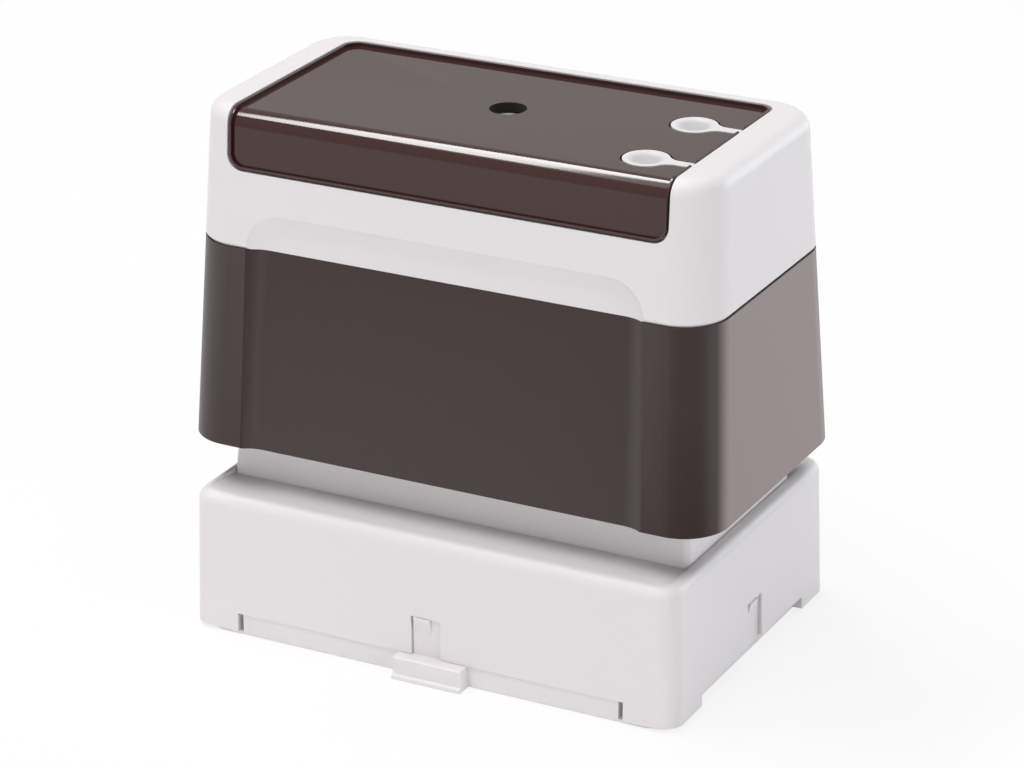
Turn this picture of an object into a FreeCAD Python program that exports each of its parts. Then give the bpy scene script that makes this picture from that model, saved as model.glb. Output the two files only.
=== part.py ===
import FreeCAD, Part
import math
import os

# Pre-inked rectangular stamp standing in its protective cap.
# Millimetres, +Z up, X along the long side, origin on the resting plane under the middle.
# The front, with the flap of the label cover, faces -Y.

# Printing plate and press stroke
DIE_LENGTH = 58.0
DIE_WIDTH = 34.0
STROKE = 5.0

# Heights of the stack, from the resting plane up
SKIRT_FOOT_Z = 0.5
SKIRT_HEIGHT = 18.45
CASING_CLEAR = 0.65
CASING_HEIGHT = 26.4
HANDLE_HEIGHT = 17.8

# Die set: holder, sheet, die, retainer, foam
DIE_RELIEF = 1.5
DIE_FLANGE = 0.9
DIE_FLANGE_THICK = 1.0
DIE_CORNER = 1.0
RETAINER_GAP = 0.25
RETAINER_STEP = 0.4
HOLDER_WALL = 1.3
HOLDER_GAP = 0.1
HOLDER_CORNER = 2.0
HOLDER_TOP = 1.5
HOLDER_LEDGE_GAP = 0.35
SHEET_THICK = 0.3
SHEET_HOLE_R = 2.5
SHEET_COLUMNS = 3
SHEET_ROWS = 2
FOAM_GAP = 0.2

# Skirt: wide foot, ledge and neck
SKIRT_ROOM_X = 1.55
SKIRT_ROOM_Y = 2.5
SKIRT_CORNER = 2.7
SKIRT_DRAFT = 1.38
SKIRT_WALL = 1.5
LEDGE_THICK = 1.7
LEDGE_ROUND = 1.5
LEDGE_DIP = 0.45
NECK_WALL = 1.8
NECK_CATCH_X = 0.8
NECK_CATCH_Y = 6.1
NECK_CORNER = 0.8
NECK_DRAFT = 4.5
NECK_TOP_CLEAR = 3.0
WEB_RISE = 1.05
WEB_THICK = 1.8
LEG_WIDTH = 6.95
LEG_LENGTH = 8.1
LEG_HEIGHT = 2.5
LEG_END_HEIGHT = 1.7
SLOT_WIDTH = 4.2
SLOT_HEIGHT = 7.7
SLOT_END_Y = 0.6

# Cap: flanged tray, latch tongues in the skirt's slots, finger tabs
CAP_SET_X = 1.45
CAP_SET_Y = 0.25
CAP_CORNER = 3.2
CAP_FLOOR = 1.2
CAP_WALL = 1.2
CAP_TOP_CLEAR = 0.7
CAP_GAP = 0.35
CAP_EDGE = 0.35
FILL_TOP_GAP = 0.05
FILL_END_GAP = 0.7
TONGUE_TOP_GAP = 0.05
TONGUE_SIDE_GAP = 0.12
TONGUE_SET = 0.35
TONGUE_THICK = 1.2
WEDGE_WIDTH = 2.3
WEDGE_HEIGHT = 2.2
WEDGE_RISE = 0.6
WEDGE_SHIFT = 0.55
TAB_WIDTH = 9.65
TAB_SHIFT = 0.97
TAB_STAND = 1.8
TAB_EDGE = 0.2
TAB_LIP = 0.4
TAB_LIP_HEIGHT = 0.5
TAB_ROOT = 0.5

# Casing and handle: one tapering body
CASING_ROOM_X = 2.7
CASING_ROOM_Y = 3.05
CASING_CORNER = 6.0
CASING_DRAFT_X = 2.47
CASING_DRAFT_Y = 4.07
CASING_WALL = 2.0
CASING_EDGE = 0.2
HANDLE_WALL = 2.0
HANDLE_TOP_ROUND = 2.2
JOINT_CHAMFER = 0.4
SPIGOT_DEPTH = 3.5
SPIGOT_WALL = 1.4
SPIGOT_GAP = 0.1

# Shallow grip panel on both long sides, running from the casing up onto the handle
GRIP_MARGIN = 8.85
GRIP_RISE = 4.75
GRIP_CORNER = 4.8
GRIP_DEPTH = 0.92
GRIP_LEAN = 0.3
GRIP_SLANT = 1.8
GRIP_SIDE_R = 4.6

# Cross plate in the casing, screws, springs, guide ribs
PLATE_DROP = 9.0
PLATE_THICK = 1.8
BOSS_R = 2.4
BOSS_INSET = 3.1
SCREW_R = 1.1
SCREW_HEAD_R = 2.1
SCREW_HEAD = 1.4
SCREW_HEAD_EDGE = 0.4
SCREW_LENGTH = 10.0
SCREW_GAP = 0.05
SCREW_END_GAP = 1.0
SPRING_OUTER_R = 3.05
SPRING_WIRE = 0.7
SPRING_NECK_GAP = 0.5
SPRING_POST_R = 1.8
SPRING_POST_GAP = 1.2
RIB_WIDTH = 1.6
RIB_X = 17.0
RIB_CLEAR = 0.3
RIB_START = 1.0

# Stem of the die holder, running up through the skirt's web
STEM_SPRING_GAP = 1.43
STEM_WEB_Y = 2.2
STEM_WALL = 1.6
STEM_CORNER = 1.5
STEM_GAP = 0.3

# Label cover and card
END_WALL = 4.9
REAR_WALL = 3.17
COVER_SUNK = 0.05
COVER_LIP_RISE = 0.45
COVER_LIP_WIDTH = 0.28
COVER_THICK = 1.2
COVER_GAP = 0.3
COVER_FRONT_ROUND = 2.6
COVER_INNER_ROUND = 0.8
COVER_CORNER = 1.8
COVER_EDGE = 0.12
FLAP_HEIGHT = 7.5
FLAP_THICK = 1.5
PEN_HOLE_R = 2.33
PEN_HOLE_X = 0.27
PEN_HOLE_Y = -0.5
PEG_R = 1.0
PEG_LENGTH = 1.9
PEG_INSET_X = 2.6
PEG_INSET_Y = 3.0
PEG_GAP = 0.2
CARD_SPACE = 0.5
CARD_THICK = 0.25
CARD_MARGIN = 1.4
CARD_PORT_MARGIN = 1.6

# Ink ports, plugs and gaskets
PORT_INSET = 6.4
PORT_FLAP_GAP = 5.91
PORT_PITCH = 13.5
PORT_BORE_R = 1.7
PORT_NECK_WALL = 1.0
PORT_HOLE_GAP = 0.3
GASKET_THICK = 0.7
GASKET_WIDTH = 0.6
GASKET_INSET = 0.1
PLUG_DISC_R = 2.9
PLUG_THICK = 1.45
PLUG_PROUD = 0.05
PLUG_RIM = 0.6
PLUG_DISH = 0.45
BUNG_GAP = 0.4
BUNG_TAPER = 0.4
BUNG_LENGTH = 1.6
STRAP_WIDTH = 1.5
STRAP_THICK = 0.8
STRAP_BLEND = 2.0
KEYHOLE_GAP = 0.25
HINGE_INSET = 0.5
CREASE = 0.15
ROOT_SPREAD = 0.35

# Ink tank and lid
TANK_PORT_MARGIN = 2.6
TANK_FLAP_GAP = 0.45
TANK_WALL = 1.4
TANK_CORNER = 2.0
TANK_LID = 1.6
DUCT_BOSS_GAP = 0.5
DUCT_STEM_GAP = 0.4
DUCT_GAP = 0.3
RAIL_WIDTH = 1.5
RAIL_HEIGHT = 2.2
RAIL_INSET = 0.6
RAIL_END = 1.5
HOLD_RIB = 2.1
HOLD_RIB_X = 14.0
HOLD_RIB_INSET = 1.0

REACH = 100.0


def slope(degrees):
    return math.tan(math.radians(degrees))


# Heights that follow
LEDGE_Z = SKIRT_FOOT_Z + SKIRT_HEIGHT
NECK_FOOT_Z = LEDGE_Z - LEDGE_DIP
CASING_Z = LEDGE_Z + STROKE + CASING_CLEAR
JOINT_Z = CASING_Z + CASING_HEIGHT
HANDLE_TOP_Z = JOINT_Z + HANDLE_HEIGHT
COVER_TOP_Z = HANDLE_TOP_Z - COVER_SUNK
COVER_FACE_Z = COVER_TOP_Z - COVER_LIP_RISE
COVER_UNDER_Z = COVER_FACE_Z - COVER_THICK
FLAP_Z = COVER_TOP_Z - FLAP_HEIGHT
DECK_Z = COVER_UNDER_Z - CARD_SPACE
PLATE_Z = JOINT_Z - PLATE_DROP
NECK_TOP_Z = PLATE_Z - STROKE - NECK_TOP_CLEAR
WEB_Z = LEDGE_Z + WEB_RISE
LEG_CUT_Z = SKIRT_FOOT_Z + LEG_HEIGHT
LEG_END_CUT_Z = SKIRT_FOOT_Z + LEG_END_HEIGHT
SLOT_TOP_Z = SKIRT_FOOT_Z + SLOT_HEIGHT
DIE_FACE_Z = SKIRT_FOOT_Z + STROKE
FLANGE_Z = DIE_FACE_Z + DIE_RELIEF
HOLDER_TOP_Z = LEDGE_Z - LEDGE_THICK - HOLDER_LEDGE_GAP
FOAM_TOP_Z = HOLDER_TOP_Z - HOLDER_TOP
CAP_WALL_Z = DIE_FACE_Z - CAP_TOP_CLEAR
FILL_Z = LEG_CUT_Z - FILL_TOP_GAP
TANK_Z = PLATE_Z + PLATE_THICK + RAIL_HEIGHT
LID_TOP_Z = DECK_Z - HANDLE_WALL - HOLD_RIB
TANK_TOP_Z = LID_TOP_Z - TANK_LID
PLUG_TOP_Z = COVER_FACE_Z + PLUG_PROUD
PORT_NECK_TOP_Z = PLUG_TOP_Z - PLUG_THICK - GASKET_THICK
GRIP_TOP_Z = JOINT_Z + GRIP_RISE

# Half sizes that follow, from the printing plate outwards
HOLDER_IN_X = DIE_LENGTH / 2 + DIE_FLANGE + HOLDER_GAP
HOLDER_IN_Y = DIE_WIDTH / 2 + DIE_FLANGE + HOLDER_GAP
HOLDER_HALF_X = HOLDER_IN_X + HOLDER_WALL
HOLDER_HALF_Y = HOLDER_IN_Y + HOLDER_WALL
SKIRT_HALF_X = HOLDER_HALF_X + SKIRT_ROOM_X + SKIRT_WALL
SKIRT_HALF_Y = HOLDER_HALF_Y + SKIRT_ROOM_Y + SKIRT_WALL
LEG_HALF_X = SKIRT_HALF_X - LEG_WIDTH
LEG_HALF_Y = SKIRT_HALF_Y - LEG_LENGTH
CAP_HALF_X = SKIRT_HALF_X - CAP_SET_X
CAP_HALF_Y = SKIRT_HALF_Y - CAP_SET_Y
NECK_HALF_X = HOLDER_HALF_X - NECK_CATCH_X + NECK_WALL
NECK_HALF_Y = HOLDER_HALF_Y - NECK_CATCH_Y + NECK_WALL
CASING_HALF_X = NECK_HALF_X + CASING_ROOM_X + CASING_WALL
CASING_HALF_Y = NECK_HALF_Y + CASING_ROOM_Y + CASING_WALL
GRIP_HALF_X = CASING_HALF_X - GRIP_MARGIN
NECK_TOP_IN_X = NECK_HALF_X - (NECK_TOP_Z - NECK_FOOT_Z) * slope(NECK_DRAFT) - NECK_WALL
SPRING_X = NECK_TOP_IN_X - SPRING_NECK_GAP - SPRING_OUTER_R
STEM_HALF_X = SPRING_X - SPRING_OUTER_R - STEM_SPRING_GAP
STEM_HALF_Y = NECK_HALF_Y - NECK_WALL - STEM_WEB_Y
DUCT_HALF_X = STEM_HALF_X - BOSS_INSET - BOSS_R - DUCT_BOSS_GAP
DUCT_HALF_Y = STEM_HALF_Y - STEM_WALL - DUCT_STEM_GAP


def casing_x(z):
    return CASING_HALF_X - (z - CASING_Z) * slope(CASING_DRAFT_X)


def casing_y(z):
    return CASING_HALF_Y - (z - CASING_Z) * slope(CASING_DRAFT_Y)


# Sizes under the cover that follow
RECESS_HALF_X = casing_x(HANDLE_TOP_Z) - END_WALL
RECESS_REAR_Y = casing_y(HANDLE_TOP_Z) - REAR_WALL
COVER_HALF_X = RECESS_HALF_X - COVER_GAP
COVER_REAR_Y = RECESS_REAR_Y - COVER_GAP
COVER_FRONT_Y = -casing_y(COVER_TOP_Z)
PORT_X = COVER_HALF_X - PORT_INSET
PORT_FRONT_Y = COVER_FRONT_Y + FLAP_THICK + PORT_FLAP_GAP
PORT_REAR_Y = PORT_FRONT_Y + PORT_PITCH
PORTS = {"front": PORT_FRONT_Y, "rear": PORT_REAR_Y}
PORT_NECK_R = PORT_BORE_R + PORT_NECK_WALL
GASKET_OUTER_R = PORT_NECK_R - GASKET_INSET
GASKET_INNER_R = GASKET_OUTER_R - GASKET_WIDTH
HINGE_X = COVER_HALF_X - HINGE_INSET
TANK_HALF_X = PORT_X + PORT_NECK_R + TANK_PORT_MARGIN
TANK_HALF_Y = casing_y(LID_TOP_Z) - FLAP_THICK - COVER_GAP - HANDLE_WALL - TANK_FLAP_GAP


def vec(x, y, z):
    return FreeCAD.Vector(x, y, z)


def box(x0, x1, y0, y1, z0, z1):
    return Part.makeBox(x1 - x0, y1 - y0, z1 - z0, vec(x0, y0, z0))


def cylinder(x, y, z0, z1, r):
    return Part.makeCylinder(r, z1 - z0, vec(x, y, z0))


def cone(x, y, z0, z1, r0, r1):
    return Part.makeCone(r0, r1, z1 - z0, vec(x, y, z0))


def find_edges(shape, test):
    """Edges whose middle point and direction pass a test."""
    found = []
    for edge in shape.Edges:
        mid = edge.valueAt((edge.FirstParameter + edge.LastParameter) / 2)
        a = edge.Vertexes[0].Point
        b = edge.Vertexes[-1].Point
        if test(mid, b - a):
            found.append(edge)
    return found


def slab(hx, hy, r, z0, z1):
    """Straight-sided block with round upright corners, centred on the Z axis."""
    body = box(-hx, hx, -hy, hy, z0, z1)
    return body.makeFillet(r, find_edges(body, lambda mid, run: abs(run.z) > 0))


def sharp_taper(hx0, hy0, z0, hx1, hy1, z1):
    """Block with flat sides and sharp corners that tapers from one rectangle to another."""
    low = [vec(-hx0, -hy0, z0), vec(hx0, -hy0, z0), vec(hx0, hy0, z0), vec(-hx0, hy0, z0)]
    top = [vec(-hx1, -hy1, z1), vec(hx1, -hy1, z1), vec(hx1, hy1, z1), vec(-hx1, hy1, z1)]
    rings = [low[::-1], top]
    for i in range(4):
        k = (i + 1) % 4
        rings.append([low[i], low[k], top[k], top[i]])
    faces = [Part.Face(Part.makePolygon(ring + ring[:1])) for ring in rings]
    return Part.Solid(Part.Shell(faces))


def taper(hx0, hy0, z0, hx1, hy1, z1, r):
    """Tapering block with round corners."""
    body = sharp_taper(hx0, hy0, z0, hx1, hy1, z1)
    return body.makeFillet(r, find_edges(body, lambda mid, run: abs(run.z) > 0))


def casing_block(z0, z1, inset):
    return taper(casing_x(z0) - inset, casing_y(z0) - inset, z0,
                 casing_x(z1) - inset, casing_y(z1) - inset, z1, CASING_CORNER - inset)


def skirt_block(z0, z1, inset):
    d0 = inset + (z0 - SKIRT_FOOT_Z) * slope(SKIRT_DRAFT)
    d1 = inset + (z1 - SKIRT_FOOT_Z) * slope(SKIRT_DRAFT)
    return taper(SKIRT_HALF_X - d0, SKIRT_HALF_Y - d0, z0,
                 SKIRT_HALF_X - d1, SKIRT_HALF_Y - d1, z1, SKIRT_CORNER - inset)


def neck_block(z0, z1, inset, rise):
    """The neck's tapering block, moved up by rise."""
    r = max(NECK_CORNER - inset, NECK_CORNER / 2)
    d0 = inset + (z0 - rise - NECK_FOOT_Z) * slope(NECK_DRAFT)
    d1 = inset + (z1 - rise - NECK_FOOT_Z) * slope(NECK_DRAFT)
    return taper(NECK_HALF_X - d0, NECK_HALF_Y - d0, z0,
                 NECK_HALF_X - d1, NECK_HALF_Y - d1, z1, r)


def grip_cutter(side):
    """Sunk panel with hollow sides that rise to a crest; side is -1 for the front and 1 for the back."""
    grow = GRIP_SIDE_R - math.sqrt(GRIP_DEPTH * (2 * GRIP_SIDE_R - GRIP_DEPTH))
    low = CASING_Z - REACH / 10
    top = GRIP_TOP_Z + grow
    x_low = GRIP_HALF_X + grow + (CASING_Z - low) * slope(GRIP_SLANT)
    x_top = x_low - (top - low) * slope(GRIP_SLANT)
    outline = [vec(-x_low, 0, low), vec(x_low, 0, low), vec(x_top, 0, top), vec(-x_top, 0, top)]
    panel = Part.Face(Part.makePolygon(outline + outline[:1])).extrude(vec(0, -2 * GRIP_SIDE_R, 0))
    corners = find_edges(panel, lambda mid, run: mid.z > top - 0.01 and abs(run.y) > 1)
    panel = panel.makeFillet(GRIP_CORNER + grow, corners)
    rim = find_edges(panel, lambda mid, run: abs(mid.y) < 0.01 and mid.z > low + 0.01)
    panel = panel.makeFillet(GRIP_SIDE_R, rim)
    panel.rotate(vec(0, 0, CASING_Z), vec(1, 0, 0), -CASING_DRAFT_Y - GRIP_LEAN)
    panel.translate(vec(0, -CASING_HALF_Y + GRIP_DEPTH, 0))
    if side > 0:
        panel = panel.mirror(vec(0, 0, 0), vec(0, 1, 0))
    return panel


def peg_places():
    y0 = COVER_FRONT_Y + FLAP_THICK + PEG_INSET_Y
    y1 = COVER_REAR_Y - PEG_INSET_Y
    x = COVER_HALF_X - PEG_INSET_X
    return [(-x, y0), (x, y0), (-x, y1), (x, y1)]


def screw_places():
    x = STEM_HALF_X - BOSS_INSET
    y = STEM_HALF_Y - BOSS_INSET
    return [(-x, -y), (x, -y), (-x, y), (x, y)]


def cover_room(hx, rear_y, low, r):
    """Space of the cover seen from above: open to the front, with round corners at the rear."""
    room = box(-hx, hx, -REACH, rear_y, low, REACH)
    return room.makeFillet(r, find_edges(room, lambda mid, run: mid.y > rear_y - 0.01 and abs(run.z) > 1))


def flap_room(hx, low, r):
    """Space of the cover's flap seen from the front, with round lower corners."""
    room = box(-hx, hx, -REACH, REACH, low, REACH)
    return room.makeFillet(r, find_edges(room, lambda mid, run: mid.z < low + 0.01 and abs(run.y) > 1))


def spoon(y, z0, z1, grow):
    """Plan of a plug with its strap: a disc that runs over into a narrow strip towards +X."""
    half = STRAP_WIDTH / 2 + grow
    disc = cylinder(PORT_X, y, z0, z1, PLUG_DISC_R + grow)
    strip = box(PORT_X, PORT_X + REACH, y - half, y + half, z0, z1)
    body = disc.fuse(strip)
    notch_x = PORT_X + math.sqrt((PLUG_DISC_R + grow) ** 2 - half ** 2)
    inner = find_edges(body, lambda mid, run: abs(run.z) > 0 and abs(mid.x - notch_x) < 0.01)
    return body.makeFillet(STRAP_BLEND, inner)


def duct_hole(z0, z1):
    return slab(DUCT_HALF_X + DUCT_GAP, DUCT_HALF_Y + DUCT_GAP, STEM_CORNER, z0, z1)


# Skirt
def make_skirt():
    outer = skirt_block(SKIRT_FOOT_Z, LEDGE_Z, 0)
    rim = find_edges(outer, lambda mid, run: abs(mid.z - LEDGE_Z) < 0.01)
    outer = outer.makeFillet(LEDGE_ROUND, rim)
    ledge_low = LEDGE_Z - LEDGE_THICK
    dish_x = SKIRT_HALF_X - (LEDGE_Z - SKIRT_FOOT_Z) * slope(SKIRT_DRAFT) - LEDGE_ROUND
    dish_y = SKIRT_HALF_Y - (LEDGE_Z - SKIRT_FOOT_Z) * slope(SKIRT_DRAFT) - LEDGE_ROUND
    dish = sharp_taper(NECK_HALF_X, NECK_HALF_Y, NECK_FOOT_Z, dish_x, dish_y, LEDGE_Z)
    dish = dish.common(slab(dish_x, dish_y, SKIRT_CORNER - LEDGE_ROUND, NECK_FOOT_Z, LEDGE_Z))
    body = outer.cut(dish)
    body = body.cut(skirt_block(SKIRT_FOOT_Z, ledge_low, SKIRT_WALL))
    body = body.fuse(neck_block(ledge_low, NECK_TOP_Z, 0, 0))
    body = body.cut(neck_block(ledge_low, WEB_Z, NECK_WALL, 0))
    body = body.cut(neck_block(WEB_Z + WEB_THICK, NECK_TOP_Z, NECK_WALL, 0))
    body = body.cut(slab(STEM_HALF_X + STEM_GAP, STEM_HALF_Y + STEM_GAP, STEM_CORNER,
                         WEB_Z, WEB_Z + WEB_THICK))
    cuts = [box(-LEG_HALF_X, LEG_HALF_X, -REACH, REACH, 0, LEG_CUT_Z),
            box(-REACH, REACH, -LEG_HALF_Y, LEG_HALF_Y, 0, LEG_END_CUT_Z),
            box(-SLOT_WIDTH / 2, SLOT_WIDTH / 2, -REACH, REACH, 0, SLOT_TOP_Z),
            box(-REACH, REACH, SLOT_END_Y - SLOT_WIDTH / 2, SLOT_END_Y + SLOT_WIDTH / 2, 0, SLOT_TOP_Z)]
    for piece in cuts:
        body = body.cut(piece)
    return body.removeSplitter()


# Cap
def latch_tongue(low):
    """One latch tongue on the front side with its wedge, standing in a skirt slot on the cap's ring wall."""
    face_y = -SKIRT_HALF_Y + (SLOT_TOP_Z - SKIRT_FOOT_Z) * slope(SKIRT_DRAFT)
    half = SLOT_WIDTH / 2 - TONGUE_SIDE_GAP
    top = SLOT_TOP_Z - TONGUE_TOP_GAP
    front = face_y + TONGUE_SET
    tongue = box(-half, half, front, front + TONGUE_THICK, low, top)
    ring_y = -SKIRT_HALF_Y + SKIRT_WALL + CAP_GAP
    tongue = tongue.fuse(box(-half, half, front, ring_y + CAP_WALL / 2, low, CAP_WALL_Z))
    profile = [vec(0, front, top), vec(0, front - WEDGE_RISE, top), vec(0, front, top - WEDGE_HEIGHT)]
    wedge = Part.Face(Part.makePolygon(profile + [profile[0]])).extrude(vec(WEDGE_WIDTH, 0, 0))
    wedge.translate(vec(-WEDGE_WIDTH / 2 - WEDGE_SHIFT, 0, 0))
    return tongue.fuse(wedge)


def finger_tab():
    """Pull tab on the front side with a lip along its lower edge."""
    x0 = TAB_SHIFT - TAB_WIDTH / 2
    x1 = TAB_SHIFT + TAB_WIDTH / 2
    back = -CAP_HALF_Y + TAB_ROOT
    front = -CAP_HALF_Y - TAB_STAND
    lip = front - TAB_LIP
    profile = [vec(x0, back, 0), vec(x0, lip, 0), vec(x0, lip, TAB_LIP_HEIGHT),
               vec(x0, front, TAB_LIP_HEIGHT + TAB_LIP / 2), vec(x0, front, FILL_Z - TAB_EDGE),
               vec(x0, front + TAB_EDGE, FILL_Z), vec(x0, back, FILL_Z)]
    return Part.Face(Part.makePolygon(profile + [profile[0]])).extrude(vec(x1 - x0, 0, 0))


def make_cap():
    wall_x = SKIRT_HALF_X - SKIRT_WALL - CAP_GAP
    wall_y = SKIRT_HALF_Y - SKIRT_WALL - CAP_GAP
    corner = SKIRT_CORNER - SKIRT_WALL
    flange = slab(CAP_HALF_X, CAP_HALF_Y, CAP_CORNER, 0, SKIRT_FOOT_Z)
    fill_x = LEG_HALF_X - FILL_END_GAP
    fill_y = LEG_HALF_Y - FILL_END_GAP
    front_fill = box(-fill_x, fill_x, -CAP_HALF_Y, CAP_HALF_Y, 0, FILL_Z)
    end_fill = box(-CAP_HALF_X, CAP_HALF_X, -fill_y, fill_y, 0, LEG_END_CUT_Z - FILL_TOP_GAP)
    body = flange.fuse([front_fill, end_fill])
    low = find_edges(body, lambda mid, run: abs(mid.z) < 0.01)
    body = body.makeFillet(CAP_EDGE, low)
    body = body.fuse(slab(wall_x, wall_y, corner, 0, CAP_WALL_Z))
    hollow = slab(wall_x - CAP_WALL, wall_y - CAP_WALL, corner, CAP_FLOOR, CAP_WALL_Z)
    body = body.cut(hollow)
    front = latch_tongue(0)
    back = front.copy()
    back.rotate(vec(0, 0, 0), vec(0, 0, 1), 180)
    shift = SKIRT_HALF_X - SKIRT_HALF_Y
    right = latch_tongue(LEG_END_CUT_Z)
    left = right.copy()
    right.rotate(vec(0, 0, 0), vec(0, 0, 1), 90)
    right.translate(vec(shift, SLOT_END_Y, 0))
    left.rotate(vec(0, 0, 0), vec(0, 0, 1), -90)
    left.translate(vec(-shift, SLOT_END_Y, 0))
    tab = finger_tab()
    rear_tab = tab.copy()
    rear_tab.rotate(vec(0, 0, 0), vec(0, 0, 1), 180)
    body = body.fuse([front, back, right, left, tab, rear_tab])
    return body.removeSplitter()


# Dark lower casing
def make_lower_casing():
    outer = casing_block(CASING_Z, JOINT_Z, 0)
    foot = find_edges(outer, lambda mid, run: abs(mid.z - CASING_Z) < 0.01)
    outer = outer.makeFillet(CASING_EDGE, foot)
    shell = outer.cut(casing_block(CASING_Z, JOINT_Z, CASING_WALL))
    plate = casing_block(PLATE_Z, PLATE_Z + PLATE_THICK, CASING_WALL / 2)
    body = shell.fuse(plate)
    ribs = []
    for x in (-RIB_X, RIB_X):
        ribs.append(box(x - RIB_WIDTH / 2, x + RIB_WIDTH / 2, -REACH, REACH, CASING_Z + RIB_START, PLATE_Z))
    limit = casing_block(CASING_Z + RIB_START, PLATE_Z, CASING_WALL / 2)
    travel = neck_block(CASING_Z, PLATE_Z, -RIB_CLEAR, STROKE)
    for rib in ribs:
        body = body.fuse(rib.common(limit).cut(travel))
    body = body.cut(duct_hole(PLATE_Z, PLATE_Z + PLATE_THICK))
    for x, y in screw_places():
        body = body.cut(cylinder(x, y, PLATE_Z, PLATE_Z + PLATE_THICK, SCREW_R + SCREW_GAP))
    post_low = WEB_Z + WEB_THICK + STROKE + SPRING_POST_GAP
    for x in (-SPRING_X, SPRING_X):
        body = body.fuse(cylinder(x, 0, post_low, PLATE_Z + PLATE_THICK / 2, SPRING_POST_R))
    for side in (-1, 1):
        body = body.cut(grip_cutter(side))
    return body.removeSplitter()


# White handle shell
def make_handle_shell():
    outer = casing_block(JOINT_Z, HANDLE_TOP_Z, 0)
    rim = find_edges(outer, lambda mid, run: abs(mid.z - HANDLE_TOP_Z) < 0.01)
    outer = outer.makeFillet(HANDLE_TOP_ROUND, rim)
    foot = find_edges(outer, lambda mid, run: abs(mid.z - JOINT_Z) < 0.01)
    outer = outer.makeChamfer(JOINT_CHAMFER, foot)
    deck_low = DECK_Z - HANDLE_WALL
    step = FLAP_THICK + COVER_GAP
    inner_front = box(-RECESS_HALF_X - HANDLE_WALL, RECESS_HALF_X + HANDLE_WALL, -REACH, 0,
                      FLAP_Z - COVER_GAP - HANDLE_WALL, deck_low)
    inner_front = inner_front.cut(casing_block(JOINT_Z, HANDLE_TOP_Z, step + HANDLE_WALL))
    cavity = casing_block(JOINT_Z, deck_low, HANDLE_WALL).cut(inner_front)
    body = outer.cut(cavity)
    body = body.cut(cover_room(RECESS_HALF_X, RECESS_REAR_Y, DECK_Z, COVER_CORNER + COVER_GAP))
    front_room = flap_room(RECESS_HALF_X, FLAP_Z - COVER_GAP, COVER_CORNER + COVER_GAP)
    front_room = front_room.common(box(-REACH, REACH, -REACH, 0, JOINT_Z, REACH))
    body = body.cut(front_room.cut(casing_block(JOINT_Z, HANDLE_TOP_Z, step)))
    spigot_low = JOINT_Z - SPIGOT_DEPTH
    inset = CASING_WALL + SPIGOT_GAP
    spigot = casing_block(spigot_low, JOINT_Z, inset)
    spigot = spigot.fuse(casing_block(JOINT_Z, JOINT_Z + HANDLE_WALL, HANDLE_WALL / 2))
    spigot = spigot.cut(casing_block(spigot_low, JOINT_Z + HANDLE_WALL, inset + SPIGOT_WALL))
    body = body.fuse(spigot)
    for x in (-HOLD_RIB_X, HOLD_RIB_X):
        half = TANK_HALF_Y - HOLD_RIB_INSET
        rib = box(x - RIB_WIDTH / 2, x + RIB_WIDTH / 2, -half, half, LID_TOP_Z, deck_low + HANDLE_WALL / 2)
        body = body.fuse(rib)
    for y in PORTS.values():
        body = body.cut(cylinder(PORT_X, y, deck_low, DECK_Z, PORT_NECK_R + PORT_HOLE_GAP))
        half = STRAP_WIDTH / 2 + ROOT_SPREAD
        root_x = HINGE_X + STRAP_THICK / 2 + CREASE
        body = body.fuse(box(root_x, RECESS_HALF_X + END_WALL / 2, y - half, y + half,
                             PLUG_TOP_Z - STRAP_THICK, PLUG_TOP_Z))
    for x, y in peg_places():
        body = body.cut(cylinder(x, y, deck_low, DECK_Z, PEG_R + PEG_GAP))
    for side in (-1, 1):
        body = body.cut(grip_cutter(side))
    return body.removeSplitter()


# Dark label cover with its front flap
def cover_form(top, inset, rounding):
    """Tapering block up to a top plane, with a rounded upper front edge."""
    form = sharp_taper(casing_x(FLAP_Z), casing_y(FLAP_Z) - inset, FLAP_Z,
                       casing_x(top), casing_y(top) - inset, top)
    front_y = -casing_y(top) + inset
    front = find_edges(form, lambda mid, run: abs(mid.z - top) < 0.01 and abs(mid.y - front_y) < 0.01)
    return form.makeFillet(rounding, front)


def make_label_cover():
    body = cover_form(COVER_TOP_Z, 0, COVER_FRONT_ROUND)
    body = body.common(cover_room(COVER_HALF_X, COVER_REAR_Y, FLAP_Z, COVER_CORNER))
    rim = find_edges(body, lambda mid, run: abs(mid.z - COVER_TOP_Z) < 0.01
                     and abs(abs(mid.x) - COVER_HALF_X) < 0.01)
    body = body.makeFillet(COVER_EDGE, rim)
    face_x = COVER_HALF_X - COVER_LIP_WIDTH
    face_y = COVER_REAR_Y - COVER_LIP_WIDTH
    inner_corner = COVER_CORNER - COVER_LIP_WIDTH
    sunk = cover_room(face_x, face_y, FLAP_Z + COVER_LIP_WIDTH, inner_corner)
    sunk = sunk.common(flap_room(face_x, FLAP_Z + COVER_LIP_WIDTH, inner_corner))
    body = body.cut(sunk.cut(cover_form(COVER_FACE_Z, COVER_LIP_RISE, COVER_FRONT_ROUND - COVER_LIP_RISE)))
    body = body.common(flap_room(COVER_HALF_X, FLAP_Z, COVER_CORNER))
    body = body.cut(cover_form(COVER_UNDER_Z, FLAP_THICK, COVER_INNER_ROUND))
    for x, y in peg_places():
        body = body.fuse(cylinder(x, y, COVER_UNDER_Z - PEG_LENGTH, COVER_UNDER_Z + COVER_THICK / 2, PEG_R))
    body = body.cut(cylinder(PEN_HOLE_X, PEN_HOLE_Y, FLAP_Z, REACH, PEN_HOLE_R))
    for y in PORTS.values():
        body = body.cut(spoon(y, DECK_Z, REACH, KEYHOLE_GAP))
    return body.removeSplitter()


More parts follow.
